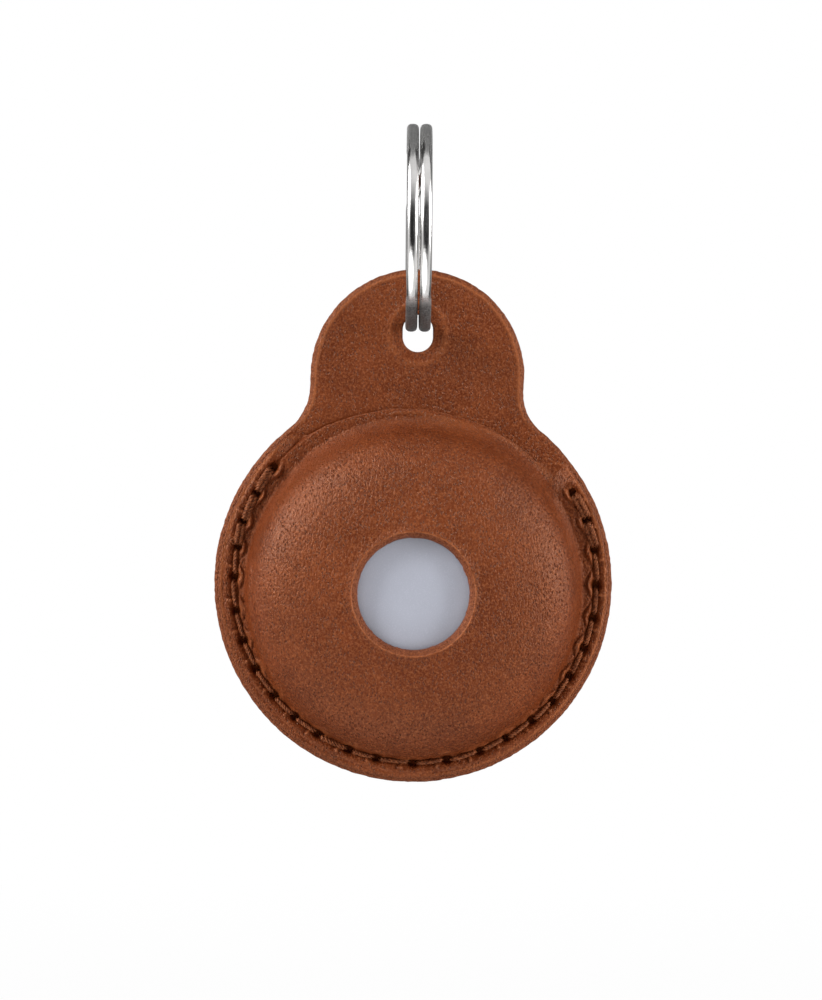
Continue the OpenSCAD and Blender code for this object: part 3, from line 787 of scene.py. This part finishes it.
def tubeStrands(middle, acrossWay, turn, offset, radius):
    # Tubes that wind round a middle line: at each step the strand's own line is the middle plus
    # the offset at the turn's angle, and a ring of points stands round that line. The first and
    # last rings shrink to a point, so each tube is closed.
    ahead = np.gradient(middle, axis=1)
    ahead /= np.linalg.norm(ahead, axis=-1, keepdims=True)
    up = np.cross(ahead, acrossWay)
    up /= np.linalg.norm(up, axis=-1, keepdims=True)
    side = np.cross(up, ahead)
    aside = np.cos(turn)[..., None] * side[:, None] + np.sin(turn)[..., None] * up[:, None]
    strand = middle[:, None] + offset * aside
    slip = np.gradient(strand, axis=2)
    slip /= np.linalg.norm(slip, axis=-1, keepdims=True)
    a = np.cross(slip, acrossWay[:, None])
    a /= np.linalg.norm(a, axis=-1, keepdims=True)
    b = np.cross(slip, a)
    spin = np.linspace(0, 2 * math.pi, threadSizes["sides"], endpoint=False)
    thick = np.full(middle.shape[1], radius)
    thick[[0, -1]] = 0.0
    circle = np.cos(spin)[:, None] * a[..., None, :] + np.sin(spin)[:, None] * b[..., None, :]
    tube = strand[..., None, :] + thick[:, None, None] * circle
    each = middle.shape[1] * threadSizes["sides"]
    tubes = tube.reshape(-1, each, 3)
    one = gridFaces(middle.shape[1], threadSizes["sides"])
    faces = (one[None] + (np.arange(len(tubes)) * each)[:, None, None]).reshape(-1, 4)
    return tubes.reshape(-1, 3), faces


def stitchRuns(holes, gone, level, dive, radius, seed, reach=0.84):
    # One run of twisted thread from each hole to the next. It lies along the seam at its distance
    # out and level, and turns down into the hole at both ends.
    s = threadSizes
    along = (np.linspace(0, 1, s["steps"]) - 0.5) * reach
    uneven = np.random.default_rng(seed).uniform(-1, 1, (len(holes), 1))
    phase = holes[:, None] + 0.5 + along
    down = smooth(np.abs(along), 0.3, 0.43)
    angle = seamAngle(phase)
    radiusOut = seamRadius(angle) + gone[:, None] + 0.16 * along + 0.06 * uneven * np.cos(3 * along)
    high = level[:, None] + 0.05 * np.cos(math.pi * along)[None] - dive * down + 0.02 * uneven
    middle = np.stack([radiusOut * np.cos(angle), radiusOut * np.sin(angle), high + 0 * angle], -1)
    outward = np.stack([np.cos(angle), np.sin(angle), 0 * angle], -1)
    length = along * math.radians(body["stitchStep"]) * body["seamR"]
    strand = (np.arange(s["strands"]) / s["strands"])[:, None]
    turn = 2 * math.pi * (length / s["twist"] + strand + uneven[:, :, None])
    return tubeStrands(middle, outward, turn, radius * 1.02, radius)


def threadLoop():
    # A small loop of thread left standing at the end of the double stitches: one and a bit turns
    # of a circle that leans outwards
    a = np.linspace(-0.5, 2.25 * math.pi, 34)
    angle = seamAngle(22.16)
    outward = np.array([math.cos(angle), math.sin(angle), 0])
    along = np.array([-math.sin(angle), math.cos(angle), 0])
    middle = outward * (seamRadius(angle) + 0.55) + np.array([0, 0, 3.42])
    ring = middle + 0.27 * (np.cos(a)[:, None] * outward + np.sin(a)[:, None] * along)
    ring[:, 2] += np.linspace(-0.25, 0.12, len(a))
    across = np.zeros((1, len(a), 3)) + (0, 0, 1.0)
    turn = (a * 1.7)[None, None] + np.array([0, math.pi])[None, :, None]
    return tubeStrands(ring[None], across, turn, 0.07, 0.085)


def makeThreads():
    # All runs of the needle thread in one piece, doubled where the seam was locked at its two
    # ends, and all runs of the bobbin thread in another, which is the same turned to the back
    last = body["stitches"] - 1
    every = np.arange(last)
    locked = np.array([0, 1, last - 3, last - 2, last - 1])
    isLocked = np.isin(every, locked)
    s = threadSizes
    single = every[~isLocked]
    inner, outer = np.array([-0.14, -0.16, -0.12, -0.2, -0.16]), np.array([0.34, 0.3, 0.36, 0.26, 0.3])
    plain = np.zeros(len(single))
    runs = [
        stitchRuns(single, plain + 0.02, plain + s["high"], dive=1.3, radius=s["strandR"], seed=21),
        stitchRuns(locked, inner, np.full(5, 3.2), dive=1.3, radius=0.16, seed=22),
        stitchRuns(locked, outer, np.full(5, 3.36), dive=1.0, radius=0.165, seed=23, reach=0.9),
        threadLoop(),
    ]
    shift = np.cumsum([0] + [len(points) for points, _ in runs])
    flat = np.concatenate([points for points, _ in runs])
    faces = np.concatenate([part + start for (_, part), start in zip(runs, shift)])
    points = stand(flat[:, 0], flat[:, 1], flat[:, 2])
    front = makePiece("front_thread", points, faces, waxed, "holder", merge=1e-9)
    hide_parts("needle_thread")
    level = 1 - s["backLevel"]
    flat, faces = stitchRuns(every, np.zeros(last), np.full(last, level), dive=0.9, radius=0.15, seed=24)
    points = stand(flat[:, 0], flat[:, 1], 1 - flat[:, 2])
    back = makePiece("back_thread", points, faces, waxed, "holder", merge=1e-9)
    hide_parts("bobbin_thread")


def threadMaterial():
    # Waxed brown fibres, in a paler and a darker brown
    made, tree, shader, place = newMaterial("waxedThread")
    fluff = node(tree, "ShaderNodeTexNoise", Vector=place, Scale=3800.0, Detail=4.0)
    fibre = node(tree, "ShaderNodeTexNoise", Vector=place, Scale=14000.0, Detail=2.0)
    dark, pale = rgb(72, 29, 11), rgb(140, 80, 48)
    colour = blendColours(tree, spread(tree, fluff.outputs[0], 0.35, 0.65), dark, pale)
    rough = spread(tree, fibre.outputs[0], 0.3, 0.7, 0.35, 0.6)
    finish(tree, shader, colour, rough, fibre.outputs[0], 0.00004, 0.8)
    shader.inputs["Specular IOR Level"].default_value = 0.3
    shader.inputs["Specular Tint"].default_value = leather["tint"]
    return made


waxed = threadMaterial()
makeThreads()
print("threads ready")


ringSizes = {
    "r": 11.35,
    "wide": 1.38,
    "thick": 1.3,
    "pitch": 1.55,
    "arc": 40,
    "at": 60,
    "tip": 0.5,
    "squareness": 2.5,
    "rings": 620,
    "sides": 32,
}


def wornGroup():
    # Fine drawn lines and handling marks on metal: stretched noise for the lines, round noise for
    # the smears, and their sum as a height
    tree, given, out = makeGroup(
        "handledMetal",
        [("Vector", "Vector", None), ("Scale", "Float", 2400.0)],
        [("Lines", "Float"), ("Smear", "Float"), ("Height", "Float")],
    )
    lines = node(tree, "ShaderNodeTexNoise", Vector=given["Vector"], Scale=given["Scale"], Detail=5.0,
                 Roughness=0.7)
    smear = node(tree, "ShaderNodeTexNoise", Vector=given["Vector"], Scale=260.0, Detail=3.0)
    tree.links.new(lines.outputs[0], out["Lines"])
    tree.links.new(smear.outputs[0], out["Smear"])
    tree.links.new(maths(tree, "MULTIPLY_ADD", smear.outputs[0], 0.4, lines.outputs[0]), out["Height"])
    return tree


worn = wornGroup()


def metalMaterial(name, dark, light, roughness, scale=2400.0, stretch=(1, 1, 1)):
    # Metal between two tints, smeared and finely lined
    made, tree, shader, place = newMaterial(name)
    if stretch != (1, 1, 1):
        place = node(tree, "ShaderNodeMapping", Vector=place, Scale=stretch).outputs[0]
    marks = placeGroup(tree, worn, Vector=place, Scale=scale)
    colour = blendColours(tree, spread(tree, marks["Smear"], 0.35, 0.68), dark, light)
    rough = spread(tree, marks["Lines"], 0.35, 0.7, roughness * 0.7, roughness * 1.4)
    finish(tree, shader, colour, rough, marks["Height"], 0.00002, 0.5)
    shader.inputs["Metallic"].default_value = 1.0
    return made


def ringMaterial():
    # Polished steel with fine lines, and a painted dark reflection, grainy, rougher and less metallic,
    # where the mark says so
    made = metalMaterial("polishedSteel", (0.54, 0.53, 0.52, 1), (0.74, 0.73, 0.72, 1), 0.13)
    tree = made.node_tree
    shader = tree.nodes["Principled BSDF"]
    place = tree.nodes["Texture Coordinate"].outputs["Object"]
    grit = node(tree, "ShaderNodeTexNoise", Vector=place, Scale=5200.0, Detail=3.0)
    # the colour of the painted dark reflection, near black and grainy
    black, grey = (0.035, 0.035, 0.035, 1), (0.13, 0.13, 0.128, 1)
    darkReflectionColour = blendColours(tree, spread(tree, grit.outputs[0], 0.35, 0.65), black, grey)
    bright = shader.inputs["Base Color"].links[0].from_socket
    polish = shader.inputs["Roughness"].links[0].from_socket
    dull = mark(tree, "dull")
    tree.links.new(blendColours(tree, dull, bright, darkReflectionColour), shader.inputs["Base Color"])
    tree.links.new(maths(tree, "MULTIPLY_ADD", dull, 0.3, polish), shader.inputs["Roughness"])
    tree.links.new(maths(tree, "MULTIPLY_ADD", dull, -0.85, 1.0), shader.inputs["Metallic"])
    return made


def makeRing():
    # A rounded section carried round twice, stepping sideways from one turn to the other, with
    # both ends filed down to a blunt tip
    s = ringSizes
    t = np.linspace(s["arc"] / 2, 720 - s["arc"] / 2, s["rings"])
    fromTip = np.minimum(t - t[0], t[-1] - t) * math.radians(1) * s["r"]
    tip = np.sqrt(np.clip(1 - (1 - np.clip(fromTip / s["tip"], 0, 1)) ** 2, 0, 1))
    sideways = s["pitch"] * (smooth((t - 360) / s["arc"] + 0.5, 0, 1) - 0.5)
    spin = np.linspace(0, 2 * math.pi, s["sides"], endpoint=False)
    power = 2 / s["squareness"]
    across = s["wide"] / 2 * np.sign(np.cos(spin)) * np.abs(np.cos(spin)) ** power
    outward = s["thick"] / 2 * np.sign(np.sin(spin)) * np.abs(np.sin(spin)) ** power
    r = s["r"] + tip[:, None] * outward[None]
    narrowed = (0.35 + 0.65 * tip[:, None]) * across[None] * (tip[:, None] > 0)
    x = backSizes["lean"] + sideways[:, None] + narrowed
    turn = np.radians(t - s["at"])[:, None]
    points = np.stack([x, -r * np.sin(turn), r * np.cos(turn)], -1) * 0.001
    # where the wire carries a painted dark reflection, and is rougher and less metallic: wholly at
    # the bottom, next to the leather, and in streaks at the top
    bottom = 1 - smooth(points[..., 2] * 1000, -9.4, -7.6)
    lines = noise2(np.arange(s["sides"])[None] * 1.7 + 0 * turn, turn * 5.0, 41)
    top = smooth(points[..., 2] * 1000 + 1.6 * lines, 8.2, 9.6) * 0.75
    dull = np.clip(bottom + top + 0.12 * np.maximum(lines, 0), 0, 1)
    faces = gridFaces(s["rings"], s["sides"])
    piece = makePiece("split_ring", points, faces, ringMaterial(), "ring", merge=1e-8, dull=dull)
    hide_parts("key_ring")


makeRing()
print("ring ready")


tagSizes = {
    "r": 15.95,
    "belt": 4.2,
    "thick": 8.0,
    "wall": 0.85,
    "seat": 2.05,
    "split": 1.95,
    "lift": 0.3,
    "axis": -41.9,
}


def plasticMaterial(name, base, roughness, coat=0.0, grain=0.00002):
    # Moulded plastic: a slight cloudiness in the colour and a fine skin
    made, tree, shader, place = newMaterial(name)
    tint = node(tree, "ShaderNodeTexNoise", Vector=place, Scale=160.0, Detail=3.0)
    skin = node(tree, "ShaderNodeTexNoise", Vector=place, Scale=9000.0, Detail=3.0)
    light = tuple(min(1, c * 1.04) for c in base[:3]) + (1,)
    dark = tuple(c * 0.95 for c in base[:3]) + (1,)
    colour = blendColours(tree, spread(tree, tint.outputs[0], 0.3, 0.7), dark, light)
    rough = spread(tree, skin.outputs[0], 0.3, 0.7, roughness - 0.05, roughness + 0.07)
    finish(tree, shader, colour, rough, skin.outputs[0], grain, 0.15)
    shader.inputs["Coat Weight"].default_value = coat
    shader.inputs["Coat Roughness"].default_value = 0.08
    return made


def makeCover():
    # Half of the rounded section, outside and then back inside one wall in, turned about the axis.
    # Above its widest line it is a soft superellipse, and below it a squarer one.
    s = tagSizes
    face, base = s["thick"] - s["belt"], s["belt"] - s["lift"]

    def half(wall, count):
        # Radius and height along the section, that wall in from the outside
        part = (s["belt"] - s["split"]) / (base - wall)
        t = np.linspace(-math.degrees(math.asin(part**3)), 90, count)
        power = np.where(t < 0, 6.0, 2.2)
        reach = np.where(t < 0, base, face) - wall
        rise = np.sign(t) * reach * np.abs(np.sin(np.radians(t))) ** (2 / power)
        return (s["r"] - wall) * np.maximum(np.cos(np.radians(t)), 0) ** (2 / power), s["belt"] + rise

    outR, outH = half(0, 70)
    inR, inH = half(s["wall"], 40)
    r = np.concatenate([outR, inR[::-1]])[:, None]
    h = np.concatenate([outH, inH[::-1]])[:, None] + s["seat"]
    a = np.linspace(0, 2 * math.pi, 200, endpoint=False)
    points = stand(r * np.cos(a), r * np.sin(a) - body["pocketDrop"], h + 0 * a)
    glossy = plasticMaterial("paleCover", rgb(177, 180, 192), 0.24, 0.25)
    faces = gridFaces(len(r), len(a), loopRows=True)
    piece = makePiece("tag_cover_shell", points, faces, glossy, "tag", merge=1e-6, sharp=50)
    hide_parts("tag_cover")


makeCover()
print("tag cover ready")


def turnedGroup():
    # Fine rings round the tag's own axis: noise that changes with the distance from the axis, which
    # is the root of x squared plus z squared, and a little with the depth along it
    tree, given, out = makeGroup(
        "turnedRings",
        [("Vector", "Vector", None), ("Scale", "Float", 5000.0)],
        [("Rings", "Float")],
    )
    parts = node(tree, "ShaderNodeSeparateXYZ", Vector=given["Vector"]).outputs
    z = maths(tree, "ADD", parts["Z"], -tagSizes["axis"] * 0.001)
    square = maths(tree, "MULTIPLY_ADD", z, z, maths(tree, "MULTIPLY", parts["X"], parts["X"]))
    flat = node(tree, "ShaderNodeCombineXYZ", X=maths(tree, "SQRT", square),
                Y=maths(tree, "MULTIPLY", parts["Y"], 0.2))
    rings = node(tree, "ShaderNodeTexNoise", Vector=flat.outputs[0], Scale=given["Scale"], Detail=2.0)
    tree.links.new(rings.outputs[0], out["Rings"])
    return tree


turned = turnedGroup()


def turnedMaterial(name, dark, light, roughness, scale=5000.0):
    # Metal with the fine rings that turning or winding leaves
    made, tree, shader, place = newMaterial(name)
    lines = placeGroup(tree, turned, Vector=place, Scale=scale)
    cloud = node(tree, "ShaderNodeTexNoise", Vector=place, Scale=300.0, Detail=3.0).outputs[0]
    shade = maths(tree, "MULTIPLY_ADD", lines["Rings"], 0.6, maths(tree, "MULTIPLY", cloud, 0.4))
    colour = blendColours(tree, spread(tree, shade, 0.35, 0.65), dark, light)
    rough = spread(tree, lines["Rings"], 0.3, 0.7, roughness * 0.8, roughness * 1.25)
    finish(tree, shader, colour, rough, lines["Rings"], 0.00003, 0.4)
    shader.inputs["Metallic"].default_value = 1.0
    return made


def boardMaterial():
    # Green solder mask, a little raised and paler over tracks that run between cells
    made, tree, shader, place = newMaterial("solderMask")
    tracks = node(tree, "ShaderNodeTexVoronoi", feature="DISTANCE_TO_EDGE", Vector=place, Scale=520.0)
    track = spread(tree, tracks.outputs["Distance"], 0.05, 0.09, 1.0, 0.0)
    weave = node(tree, "ShaderNodeTexNoise", Vector=place, Scale=5200.0, Detail=2.0)
    colour = blendColours(tree, track, rgb(14, 62, 40), rgb(38, 104, 66))
    colour = blendColours(tree, spread(tree, weave.outputs[0], 0.4, 0.7, 0.0, 0.25), colour, rgb(8, 40, 26))
    rough = spread(tree, weave.outputs[0], 0.3, 0.7, 0.28, 0.42)
    finish(tree, shader, colour, rough, track, 0.00003, 0.5)
    return made


def tint(r, g, b):
    # A metal's colour as the shader wants it
    return r, g, b, 1.0


def finishInnerNodes():
    # Each solid of the tag's inside keeps its own shape and gets its own finish
    grey, pale = tint(0.42, 0.42, 0.43), tint(0.66, 0.66, 0.67)
    dullCopper, copper = tint(0.45, 0.2, 0.09), tint(0.74, 0.4, 0.22)
    enamelDark, enamel = tint(0.3, 0.1, 0.03), tint(0.8, 0.42, 0.22)
    nickelDark, nickel = tint(0.28, 0.27, 0.26), tint(0.46, 0.45, 0.43)
    goldDark, gold = tint(0.62, 0.42, 0.13), tint(0.86, 0.66, 0.3)
    frameWhite = plasticMaterial("whiteFrame", rgb(226, 227, 229), 0.5, grain=0.00004)
    finishes = {
        "tag_frame": frameWhite,
        "lid_bayonet": frameWhite,
        "circuit_board": boardMaterial(),
        "shield_can": metalMaterial("tinnedShield", grey, pale, 0.36, 1500.0, stretch=(1, 1, 9)),
        "board_chips": plasticMaterial("mouldedChips", rgb(38, 38, 41), 0.55, grain=0.00005),
        "antenna_coil": turnedMaterial("printedCopper", dullCopper, copper, 0.3, 9000.0),
        "voice_coil": turnedMaterial("woundCopper", enamelDark, enamel, 0.34, 12000.0),
        "speaker_yoke": turnedMaterial("platedYoke", tint(0.3, 0.3, 0.31), tint(0.5, 0.5, 0.51), 0.3),
        "speaker_magnet": metalMaterial("nickeledMagnet", nickelDark, nickel, 0.24, 1800.0),
        "battery_contacts": metalMaterial("gildedSprings", goldDark, gold, 0.22, 1600.0),
        "cell_can": turnedMaterial("satinCan", grey, tint(0.72, 0.72, 0.73), 0.32, 3500.0),
        "cell_cap": turnedMaterial("satinCap", tint(0.5, 0.5, 0.5), tint(0.7, 0.7, 0.69), 0.38, 2500.0),
        "cell_gasket": plasticMaterial("blackGasket", rgb(30, 30, 32), 0.5),
        "battery_lid": turnedMaterial("polishedLid", tint(0.56, 0.56, 0.57), tint(0.74, 0.74, 0.75), 0.16,
                                      6500.0),
    }
    for name, look in finishes.items():
        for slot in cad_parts[name].material_slots:
            slot.material = look
    print("inner finishes ready:", len(finishes))


finishInnerNodes()


def paintWorld():
    # A plain even grey lights the object and white stands behind it. Reflections see a white tent
    # with a dark opening at the front, dark flags above and below at the back, grey between, and
    # a bright box behind each lamp.
    world = bpy.data.worlds.new("studio")
    bpy.context.scene.world = world
    world.use_nodes = True
    tree = world.node_tree
    tree.nodes.clear()
    path = node(tree, "ShaderNodeLightPath")
    toSky = tree.nodes.new("ShaderNodeTexCoord").outputs["Generated"]
    away = node(tree, "ShaderNodeSeparateXYZ", Vector=toSky).outputs
    front = spread(tree, away["Y"], -0.92, -0.64, 0.03, 1.0)
    tall = spread(tree, maths(tree, "ABSOLUTE", away["Z"]), 0.25, 0.5, 0.4, 0.06)
    behind = spread(tree, away["Y"], -0.06, 0.1)
    tent = maths(tree, "ADD", maths(tree, "MULTIPLY", front, maths(tree, "SUBTRACT", 1.0, behind)),
                 maths(tree, "MULTIPLY", tall, behind))
    for way, glow in studio["boxes"]:
        facing = node(tree, "ShaderNodeVectorMath", operation="DOT_PRODUCT", in0=toSky,
                      in1=Vector(way).normalized())
        tent = maths(tree, "ADD", tent, spread(tree, facing.outputs["Value"], 0.88, 0.96, 0.0, glow))
    more = maths(tree, "SUBTRACT", tent, studio["world"])
    level = maths(tree, "MULTIPLY_ADD", path.outputs["Is Glossy Ray"], more, studio["world"])
    seen = maths(tree, "MAXIMUM", path.outputs["Is Camera Ray"], path.outputs["Is Transmission Ray"])
    strength = maths(tree, "MULTIPLY_ADD", seen, maths(tree, "SUBTRACT", 1.0, level), level)
    sky = node(tree, "ShaderNodeBackground", Color=(1, 1, 1, 1), Strength=strength)
    tree.links.new(sky.outputs[0], node(tree, "ShaderNodeOutputWorld").inputs["Surface"])


def addFloor():
    # A plain pale floor far below. The camera sees it almost white, with a little of the object's
    # shadow close by, and reflections see the tent in its place.
    mesh = bpy.data.meshes.new("floor")
    z, half = studio["floor"], studio["floorHalf"]
    corners = [(-half, -half, z), (half, -half, z), (half, half, z), (-half, half, z)]
    mesh.from_pydata(corners, [], [(0, 1, 2, 3)])
    floor = bpy.data.objects.new("floor", mesh)
    bpy.context.scene.collection.objects.link(floor)
    made, tree, shader, place = newMaterial("paleFloor")
    shader.inputs["Roughness"].default_value = 0.9
    shader.inputs["Specular IOR Level"].default_value = 0.0
    paper = node(tree, "ShaderNodeTexNoise", Vector=place, Scale=60.0, Detail=4.0)
    tree.links.new(blendColours(tree, paper.outputs[0], (0.86, 0.86, 0.86, 1), (0.9, 0.9, 0.9, 1)),
                   shader.inputs["Base Color"])
    path = node(tree, "ShaderNodeLightPath")
    far = node(tree, "ShaderNodeVectorMath", operation="LENGTH", in0=place).outputs["Value"]
    seen = maths(tree, "MAXIMUM", path.outputs["Is Camera Ray"], path.outputs["Is Transmission Ray"])
    seen = maths(tree, "MULTIPLY", seen, spread(tree, far, 0.2, 0.8, 0.9, 1.0))
    white = node(tree, "ShaderNodeEmission", Color=(1, 1, 1, 1), Strength=1.0)
    mixed = node(tree, "ShaderNodeMixShader", in0=seen, in1=shader.outputs[0], in2=white.outputs[0])
    tree.links.new(mixed.outputs[0], tree.nodes["Material Output"].inputs["Surface"])
    mesh.materials.append(made)
    floor.visible_glossy = False


paintWorld()
addFloor()
addLamp("key", place=(-0.66, -0.26, 0.38), size=(0.28, 0.4), watts=6.0)
addLamp("rightFill", place=(0.7, -0.24, 0.12), size=(0.25, 0.4), watts=4.2)
bpy.context.scene.view_settings.view_transform = "Standard"

print("studio ready")
